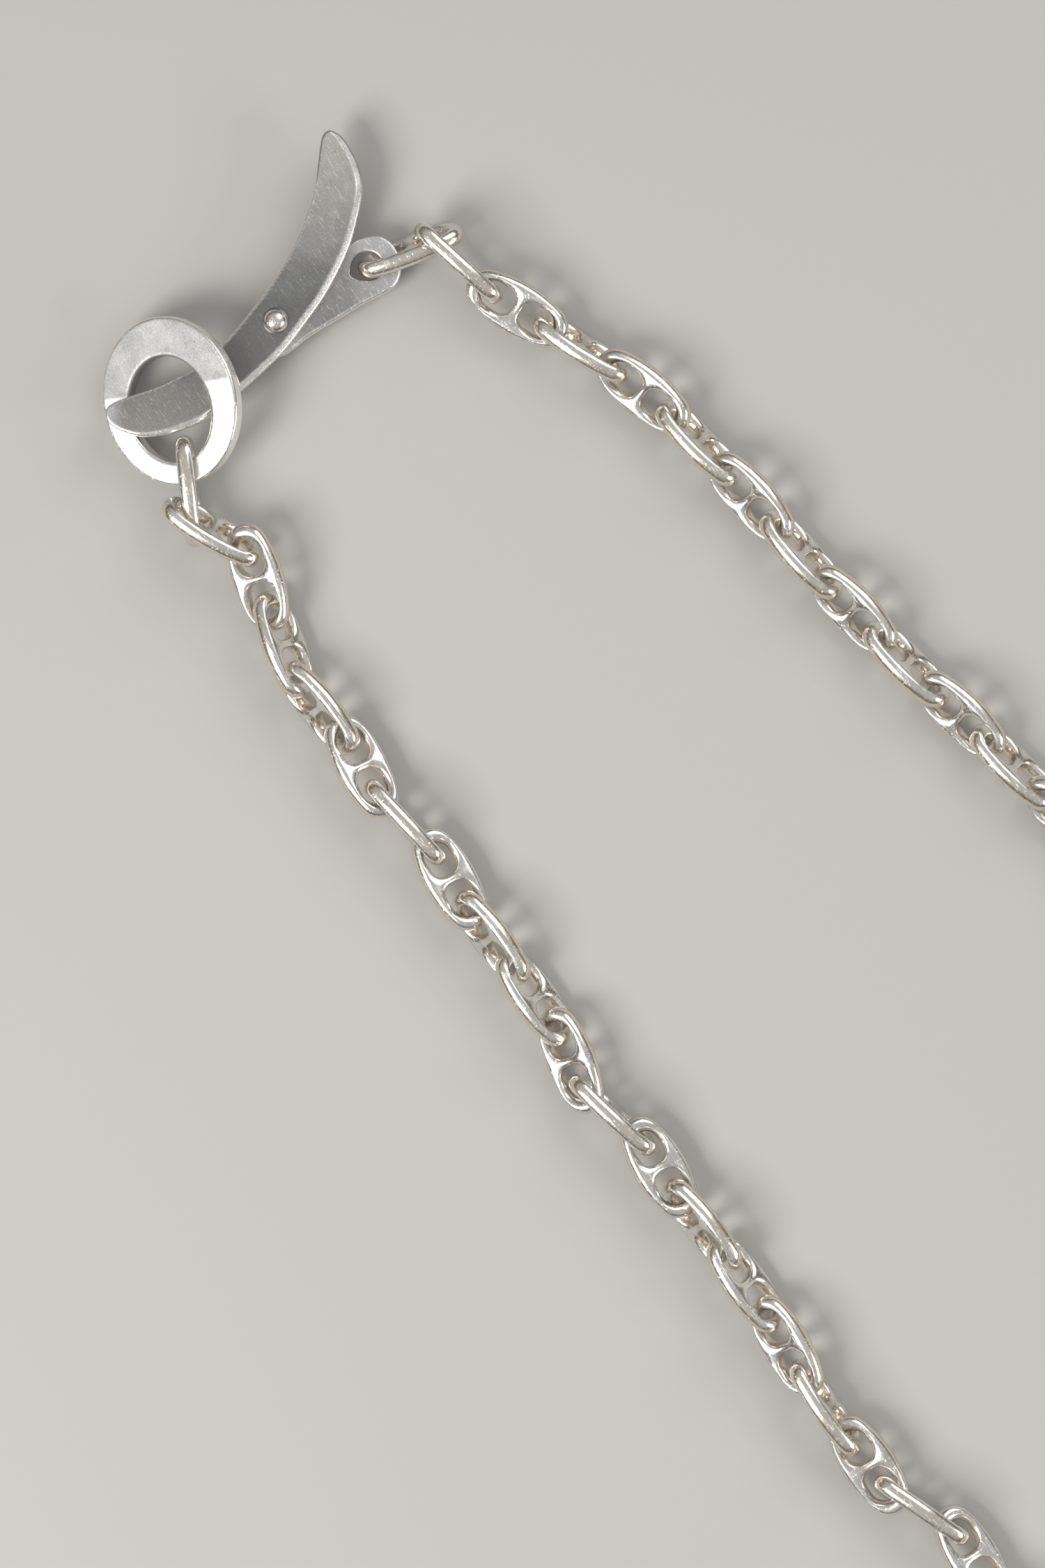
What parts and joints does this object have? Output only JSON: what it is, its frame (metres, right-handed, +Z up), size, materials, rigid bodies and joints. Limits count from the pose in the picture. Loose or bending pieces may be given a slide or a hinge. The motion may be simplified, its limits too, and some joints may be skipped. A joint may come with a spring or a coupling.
{
  "type": "studded anchor link chain necklace with crescent clasp",
  "caption": "Closed necklace of studded oval anchor links lying in a long loop, held by a crescent lever that swivels on a riveted plate and hooks a flat oval ring.",
  "frame": {"origin": "centre of the bounding box's footprint, on the surface that the necklace lies on", "axes": "+X runs along the loop from the clasp end to the far bend, +Y across the loop, +Z up from the surface"},
  "size_m": [0.1828, 0.0662, 0.0074],
  "materials": {
    "silver_link": "polished sterling silver with fine wear scratches",
    "silver_plate": "satin silver, darker and duller than the links",
    "silver_lever": "satin silver face with a polished bevel along the edges",
    "silver_rivet": "polished domed head",
    "silver_ring": "satin silver face with polished rims"
  },
  "bodies": {
    "clasp": {"clasp_plate": "silver_plate", "pivot_rivet": "silver_rivet"},
    "lever": {"clasp_lever": "silver_lever"},
    "link_01": {"link_01": "silver_link"},
    "link_02": {"link_02": "silver_link"},
    "link_03": {"link_03": "silver_link"},
    "link_04": {"link_04": "silver_link"},
    "link_05": {"link_05": "silver_link"},
    "link_06": {"link_06": "silver_link"},
    "link_07": {"link_07": "silver_link"},
    "link_08": {"link_08": "silver_link"},
    "link_09": {"link_09": "silver_link"},
    "link_10": {"link_10": "silver_link"},
    "link_11": {"link_11": "silver_link"},
    "link_12": {"link_12": "silver_link"},
    "link_13": {"link_13": "silver_link"},
    "link_14": {"link_14": "silver_link"},
    "link_15": {"link_15": "silver_link"},
    "link_16": {"link_16": "silver_link"},
    "link_17": {"link_17": "silver_link"},
    "link_18": {"link_18": "silver_link"},
    "link_19": {"link_19": "silver_link"},
    "link_20": {"link_20": "silver_link"},
    "link_21": {"link_21": "silver_link"},
    "link_22": {"link_22": "silver_link"},
    "link_23": {"link_23": "silver_link"},
    "link_24": {"link_24": "silver_link"},
    "link_25": {"link_25": "silver_link"},
    "link_26": {"link_26": "silver_link"},
    "link_27": {"link_27": "silver_link"},
    "link_28": {"link_28": "silver_link"},
    "link_29": {"link_29": "silver_link"},
    "link_30": {"link_30": "silver_link"},
    "link_31": {"link_31": "silver_link"},
    "link_32": {"link_32": "silver_link"},
    "link_33": {"link_33": "silver_link"},
    "link_34": {"link_34": "silver_link"},
    "link_35": {"link_35": "silver_link"},
    "link_36": {"link_36": "silver_link"},
    "link_37": {"link_37": "silver_link"},
    "link_38": {"link_38": "silver_link"},
    "link_39": {"link_39": "silver_link"},
    "link_40": {"link_40": "silver_link"},
    "link_41": {"link_41": "silver_link"},
    "link_42": {"link_42": "silver_link"},
    "link_43": {"link_43": "silver_link"},
    "link_44": {"link_44": "silver_link"},
    "link_45": {"link_45": "silver_link"},
    "link_46": {"link_46": "silver_link"},
    "link_47": {"link_47": "silver_link"},
    "link_48": {"link_48": "silver_link"},
    "link_49": {"link_49": "silver_link"},
    "link_50": {"link_50": "silver_link"},
    "link_51": {"link_51": "silver_link"},
    "link_52": {"link_52": "silver_link"},
    "link_53": {"link_53": "silver_link"},
    "link_54": {"link_54": "silver_link"},
    "ring": {"clasp_ring": "silver_ring"}
  },
  "joints": [
    {"name": "lever_swivel", "type": "hinge", "parent": "clasp", "child": "lever", "pos_m": [-0.07976, -0.0118, 0.003], "axis": [0, 0, 1], "range_deg": [-6, 1.5]},
    {"name": "sway_01", "type": "hinge", "parent": "clasp", "child": "link_01", "pos_m": [-0.07905, -0.00186, 0.00245], "axis": [0, 0, 1], "range_deg": [-7.5, 4]},
    {"name": "sway_01_b", "type": "hinge", "parent": "link_01", "child": "link_02", "pos_m": [-0.07734, 0.00532, 0.00332], "axis": [0, 0, 1], "range_deg": [-1.38, 2.54]},
    {"name": "sway_01_c", "type": "hinge", "parent": "link_02", "child": "link_03", "pos_m": [-0.07068, 0.00599, 0.00323], "axis": [0, 0, 1], "range_deg": [-8.04, 15.04]},
    {"name": "sway_01_d", "type": "hinge", "parent": "link_03", "child": "link_04", "pos_m": [-0.06422, 0.00876, 0.00252], "axis": [0, 0, 1], "range_deg": [-10.03, 5.37]},
    {"name": "sway_05", "type": "hinge", "parent": "link_04", "child": "link_05", "pos_m": [-0.05763, 0.01144, 0.00248], "axis": [0, 0, 1], "range_deg": [-7.5, 5.5]},
    {"name": "sway_05_b", "type": "hinge", "parent": "link_05", "child": "link_06", "pos_m": [-0.05072, 0.01327, 0.00248], "axis": [0, 0, 1], "range_deg": [-7.32, 9.96]},
    {"name": "sway_05_c", "type": "hinge", "parent": "link_06", "child": "link_07", "pos_m": [-0.04363, 0.01432, 0.00238], "axis": [0, 0, 1], "range_deg": [-1.98, 2.68]},
    {"name": "sway_05_d", "type": "hinge", "parent": "link_07", "child": "link_08", "pos_m": [-0.03651, 0.01509, 0.00243], "axis": [0, 0, 1], "range_deg": [-5.1, 3.75]},
    {"name": "sway_09", "type": "hinge", "parent": "link_08", "child": "link_09", "pos_m": [-0.02937, 0.01582, 0.00234], "axis": [0, 0, 1], "range_deg": [-7.5, 5.5]},
    {"name": "sway_09_b", "type": "hinge", "parent": "link_09", "child": "link_10", "pos_m": [-0.02227, 0.01681, 0.00232], "axis": [0, 0, 1], "range_deg": [-5.65, 7.68]},
    {"name": "sway_09_c", "type": "hinge", "parent": "link_10", "child": "link_11", "pos_m": [-0.01527, 0.01805, 0.00227], "axis": [0, 0, 1], "range_deg": [-5.46, 7.43]},
    {"name": "sway_09_d", "type": "hinge", "parent": "link_11", "child": "link_12", "pos_m": [-0.00835, 0.0193, 0.00222], "axis": [0, 0, 1], "range_deg": [-7.57, 5.56]},
    {"name": "sway_13", "type": "hinge", "parent": "link_12", "child": "link_13", "pos_m": [-0.00136, 0.02046, 0.00226], "axis": [0, 0, 1], "range_deg": [-7.5, 5.5]},
    {"name": "sway_13_b", "type": "hinge", "parent": "link_13", "child": "link_14", "pos_m": [0.00564, 0.02195, 0.00233], "axis": [0, 0, 1], "range_deg": [-11.04, 15.04]},
    {"name": "sway_13_c", "type": "hinge", "parent": "link_14", "child": "link_15", "pos_m": [0.01275, 0.02278, 0.00228], "axis": [0, 0, 1], "range_deg": [-7.54, 5.54]},
    {"name": "clasp_release", "type": "hinge", "parent": "link_15", "child": "link_16", "pos_m": [0.01972, 0.02438, 0.00234], "axis": [0, 0, 1], "range_deg": [-7.5, 0]},
    {"name": "clasp_release_b", "type": "hinge", "parent": "link_16", "child": "link_17", "pos_m": [0.02683, 0.02523, 0.0023], "axis": [0, 0, 1], "range_deg": [-7.55, 0]},
    {"name": "sway_18", "type": "hinge", "parent": "link_17", "child": "link_18", "pos_m": [0.03382, 0.02682, 0.00235], "axis": [0, 0, 1], "range_deg": [-7.5, 5.5]},
    {"name": "sway_18_b", "type": "hinge", "parent": "link_18", "child": "link_19", "pos_m": [0.04093, 0.02775, 0.00234], "axis": [0, 0, 1], "range_deg": [-5.57, 7.58]},
    {"name": "sway_18_c", "type": "hinge", "parent": "link_19", "child": "link_20", "pos_m": [0.04792, 0.02934, 0.00237], "axis": [0, 0, 1], "range_deg": [-5.51, 7.49]},
    {"name": "sway_18_d", "type": "hinge", "parent": "link_20", "child": "link_21", "pos_m": [0.05503, 0.03026, 0.0024], "axis": [0, 0, 1], "range_deg": [-7.52, 5.53]},
    {"name": "sway_22", "type": "hinge", "parent": "link_21", "child": "link_22", "pos_m": [0.06213, 0.03101, 0.0025], "axis": [0, 0, 1], "range_deg": [-7.5, 5.5]},
    {"name": "sway_22_b", "type": "hinge", "parent": "link_22", "child": "link_23", "pos_m": [0.06908, 0.02926, 0.00247], "axis": [0, 0, 1], "range_deg": [-9.2, 12.53]},
    {"name": "sway_22_c", "type": "hinge", "parent": "link_23", "child": "link_24", "pos_m": [0.07568, 0.02653, 0.00252], "axis": [0, 0, 1], "range_deg": [-2.54, 1.88]},
    {"name": "sway_22_d", "type": "hinge", "parent": "link_24", "child": "link_25", "pos_m": [0.08099, 0.0217, 0.00249], "axis": [0, 0, 1], "range_deg": [-2.54, 1.88]},
    {"name": "clasp_release_c", "type": "hinge", "parent": "link_25", "child": "link_26", "pos_m": [0.08554, 0.0162, 0.00255], "axis": [0, 0, 1], "range_deg": [0, 7.55]},
    {"name": "clasp_release_d", "type": "hinge", "parent": "link_26", "child": "link_27", "pos_m": [0.08795, 0.00944, 0.00251], "axis": [0, 0, 1], "range_deg": [0, 7.55]},
    {"name": "sway_28", "type": "hinge", "parent": "link_27", "child": "link_28", "pos_m": [0.08938, 0.00245, 0.00256], "axis": [0, 0, 1], "range_deg": [-7.5, 7.5]},
    {"name": "sway_28_b", "type": "hinge", "parent": "link_28", "child": "link_29", "pos_m": [0.08832, -0.00464, 0.00252], "axis": [0, 0, 1], "range_deg": [-12.54, 12.54]},
    {"name": "sway_28_c", "type": "hinge", "parent": "link_29", "child": "link_30", "pos_m": [0.08628, -0.01148, 0.00257], "axis": [0, 0, 1], "range_deg": [-2.56, 2.56]},
    {"name": "sway_28_d", "type": "hinge", "parent": "link_30", "child": "link_31", "pos_m": [0.08203, -0.01725, 0.00252], "axis": [0, 0, 1], "range_deg": [-2.54, 2.54]},
    {"name": "sway_32", "type": "hinge", "parent": "link_31", "child": "link_32", "pos_m": [0.07701, -0.02232, 0.00255], "axis": [0, 0, 1], "range_deg": [-7.5, 7.5]},
    {"name": "sway_32_b", "type": "hinge", "parent": "link_32", "child": "link_33", "pos_m": [0.07057, -0.02545, 0.00253], "axis": [0, 0, 1], "range_deg": [-12.56, 12.56]},
    {"name": "sway_32_c", "type": "hinge", "parent": "link_33", "child": "link_34", "pos_m": [0.06379, -0.0276, 0.00259], "axis": [0, 0, 1], "range_deg": [-2.57, 2.57]},
    {"name": "sway_32_d", "type": "hinge", "parent": "link_34", "child": "link_35", "pos_m": [0.05667, -0.02734, 0.00242], "axis": [0, 0, 1], "range_deg": [-2.54, 2.54]},
    {"name": "sway_36", "type": "hinge", "parent": "link_35", "child": "link_36", "pos_m": [0.04979, -0.02701, 0.00236], "axis": [0, 0, 1], "range_deg": [-7.5, 6]},
    {"name": "sway_36_b", "type": "hinge", "parent": "link_36", "child": "link_37", "pos_m": [0.04363, -0.0299, 0.00244], "axis": [0, 0, 1], "range_deg": [-4.75, 5.93]},
    {"name": "sway_36_c", "type": "hinge", "parent": "link_37", "child": "link_38", "pos_m": [0.03701, -0.02992, 0.00244], "axis": [0, 0, 1], "range_deg": [-8.31, 10.38]},
    {"name": "sway_36_d", "type": "hinge", "parent": "link_38", "child": "link_39", "pos_m": [0.03014, -0.02999, 0.00241], "axis": [0, 0, 1], "range_deg": [-8.76, 7.02]},
    {"name": "sway_40", "type": "hinge", "parent": "link_39", "child": "link_40", "pos_m": [0.02324, -0.02927, 0.00223], "axis": [0, 0, 1], "range_deg": [-7.5, 7.5]},
    {"name": "sway_40_b", "type": "hinge", "parent": "link_40", "child": "link_41", "pos_m": [0.01626, -0.02926, 0.00241], "axis": [0, 0, 1], "range_deg": [-9.5, 9.5]},
    {"name": "sway_40_c", "type": "hinge", "parent": "link_41", "child": "link_42", "pos_m": [0.00939, -0.02964, 0.00234], "axis": [0, 0, 1], "range_deg": [-3.89, 3.89]},
    {"name": "sway_40_d", "type": "hinge", "parent": "link_42", "child": "link_43", "pos_m": [0.00266, -0.02923, 0.00247], "axis": [0, 0, 1], "range_deg": [-5.84, 5.84]},
    {"name": "sway_44", "type": "hinge", "parent": "link_43", "child": "link_44", "pos_m": [-0.00387, -0.03101, 0.00241], "axis": [0, 0, 1], "range_deg": [-7.5, 7.5]},
    {"name": "sway_44_b", "type": "hinge", "parent": "link_44", "child": "link_45", "pos_m": [-0.01039, -0.02944, 0.00212], "axis": [0, 0, 1], "range_deg": [-9.56, 9.56]},
    {"name": "sway_44_c", "type": "hinge", "parent": "link_45", "child": "link_46", "pos_m": [-0.01735, -0.02952, 0.00237], "axis": [0, 0, 1], "range_deg": [-3.19, 3.19]},
    {"name": "sway_44_d", "type": "hinge", "parent": "link_46", "child": "link_47", "pos_m": [-0.02425, -0.02971, 0.00233], "axis": [0, 0, 1], "range_deg": [-5.2, 5.2]},
    {"name": "sway_48", "type": "hinge", "parent": "link_47", "child": "link_48", "pos_m": [-0.03104, -0.02917, 0.00245], "axis": [0, 0, 1], "range_deg": [-7.5, 6.5]},
    {"name": "sway_48_b", "type": "hinge", "parent": "link_48", "child": "link_49", "pos_m": [-0.03781, -0.03034, 0.00268], "axis": [0, 0, 1], "range_deg": [-4.3, 4.96]},
    {"name": "sway_48_c", "type": "hinge", "parent": "link_49", "child": "link_50", "pos_m": [-0.04452, -0.02958, 0.00229], "axis": [0, 0, 1], "range_deg": [-10.86, 12.52]},
    {"name": "sway_48_d", "type": "hinge", "parent": "link_50", "child": "link_51", "pos_m": [-0.05143, -0.03014, 0.00243], "axis": [0, 0, 1], "range_deg": [-9.93, 8.61]},
    {"name": "sway_52", "type": "hinge", "parent": "link_51", "child": "link_52", "pos_m": [-0.05806, -0.02834, 0.00251], "axis": [0, 0, 1], "range_deg": [-4, 4]},
    {"name": "sway_52_b", "type": "hinge", "parent": "link_52", "child": "link_53", "pos_m": [-0.06433, -0.02647, 0.00327], "axis": [0, 0, 1], "range_deg": [-5.97, 5.97]},
    {"name": "sway_52_c", "type": "hinge", "parent": "link_53", "child": "link_54", "pos_m": [-0.06958, -0.02972, 0.00307], "axis": [0, 0, 1], "range_deg": [-2.31, 2.31]},
    {"name": "sway_52_d", "type": "hinge", "parent": "link_54", "child": "ring", "pos_m": [-0.07317, -0.02643, 0.00346], "axis": [0, 0, 1], "range_deg": [-4.23, 4.23]}
  ],
  "couplings": [
    {"joint": "sway_01_b", "follows": "sway_01", "ratio": -0.332},
    {"joint": "sway_01_c", "follows": "sway_01", "ratio": -1.998},
    {"joint": "sway_01_d", "follows": "sway_01", "ratio": 1.33},
    {"joint": "sway_05_b", "follows": "sway_05", "ratio": -1.322},
    {"joint": "sway_05_c", "follows": "sway_05", "ratio": -0.351},
    {"joint": "sway_05_d", "follows": "sway_05", "ratio": 0.673},
    {"joint": "sway_09_b", "follows": "sway_09", "ratio": -1.018},
    {"joint": "sway_09_c", "follows": "sway_09", "ratio": -0.984},
    {"joint": "sway_09_d", "follows": "sway_09", "ratio": 1.002},
    {"joint": "sway_13_b", "follows": "sway_13", "ratio": -1.999},
    {"joint": "sway_13_c", "follows": "sway_13", "ratio": 0.999},
    {"joint": "clasp_release_b", "follows": "clasp_release", "ratio": 1},
    {"joint": "clasp_release_c", "follows": "clasp_release", "ratio": -1},
    {"joint": "clasp_release_d", "follows": "clasp_release", "ratio": -1},
    {"joint": "sway_18_b", "follows": "sway_18", "ratio": -1.004},
    {"joint": "sway_18_c", "follows": "sway_18", "ratio": -0.992},
    {"joint": "sway_18_d", "follows": "sway_18", "ratio": 0.996},
    {"joint": "sway_22_b", "follows": "sway_22", "ratio": -1.664},
    {"joint": "sway_22_c", "follows": "sway_22", "ratio": 0.332},
    {"joint": "sway_22_d", "follows": "sway_22", "ratio": 0.332},
    {"joint": "sway_28_b", "follows": "sway_28", "ratio": -1.666},
    {"joint": "sway_28_c", "follows": "sway_28", "ratio": 0.334},
    {"joint": "sway_28_d", "follows": "sway_28", "ratio": 0.332},
    {"joint": "sway_32_b", "follows": "sway_32", "ratio": -1.668},
    {"joint": "sway_32_c", "follows": "sway_32", "ratio": 0.336},
    {"joint": "sway_32_d", "follows": "sway_32", "ratio": 0.332},
    {"joint": "sway_36_b", "follows": "sway_36", "ratio": -0.784},
    {"joint": "sway_36_c", "follows": "sway_36", "ratio": -1.377},
    {"joint": "sway_36_d", "follows": "sway_36", "ratio": 1.161},
    {"joint": "sway_40_b", "follows": "sway_40", "ratio": -1.26},
    {"joint": "sway_40_c", "follows": "sway_40", "ratio": -0.512},
    {"joint": "sway_40_d", "follows": "sway_40", "ratio": 0.772},
    {"joint": "sway_44_b", "follows": "sway_44", "ratio": -1.268},
    {"joint": "sway_44_c", "follows": "sway_44", "ratio": -0.419},
    {"joint": "sway_44_d", "follows": "sway_44", "ratio": 0.687},
    {"joint": "sway_48_b", "follows": "sway_48", "ratio": -0.654},
    {"joint": "sway_48_c", "follows": "sway_48", "ratio": -1.663},
    {"joint": "sway_48_d", "follows": "sway_48", "ratio": 1.317},
    {"joint": "sway_52_b", "follows": "sway_52", "ratio": -1.48},
    {"joint": "sway_52_c", "follows": "sway_52", "ratio": -0.565},
    {"joint": "sway_52_d", "follows": "sway_52", "ratio": 1.045}
  ]
}
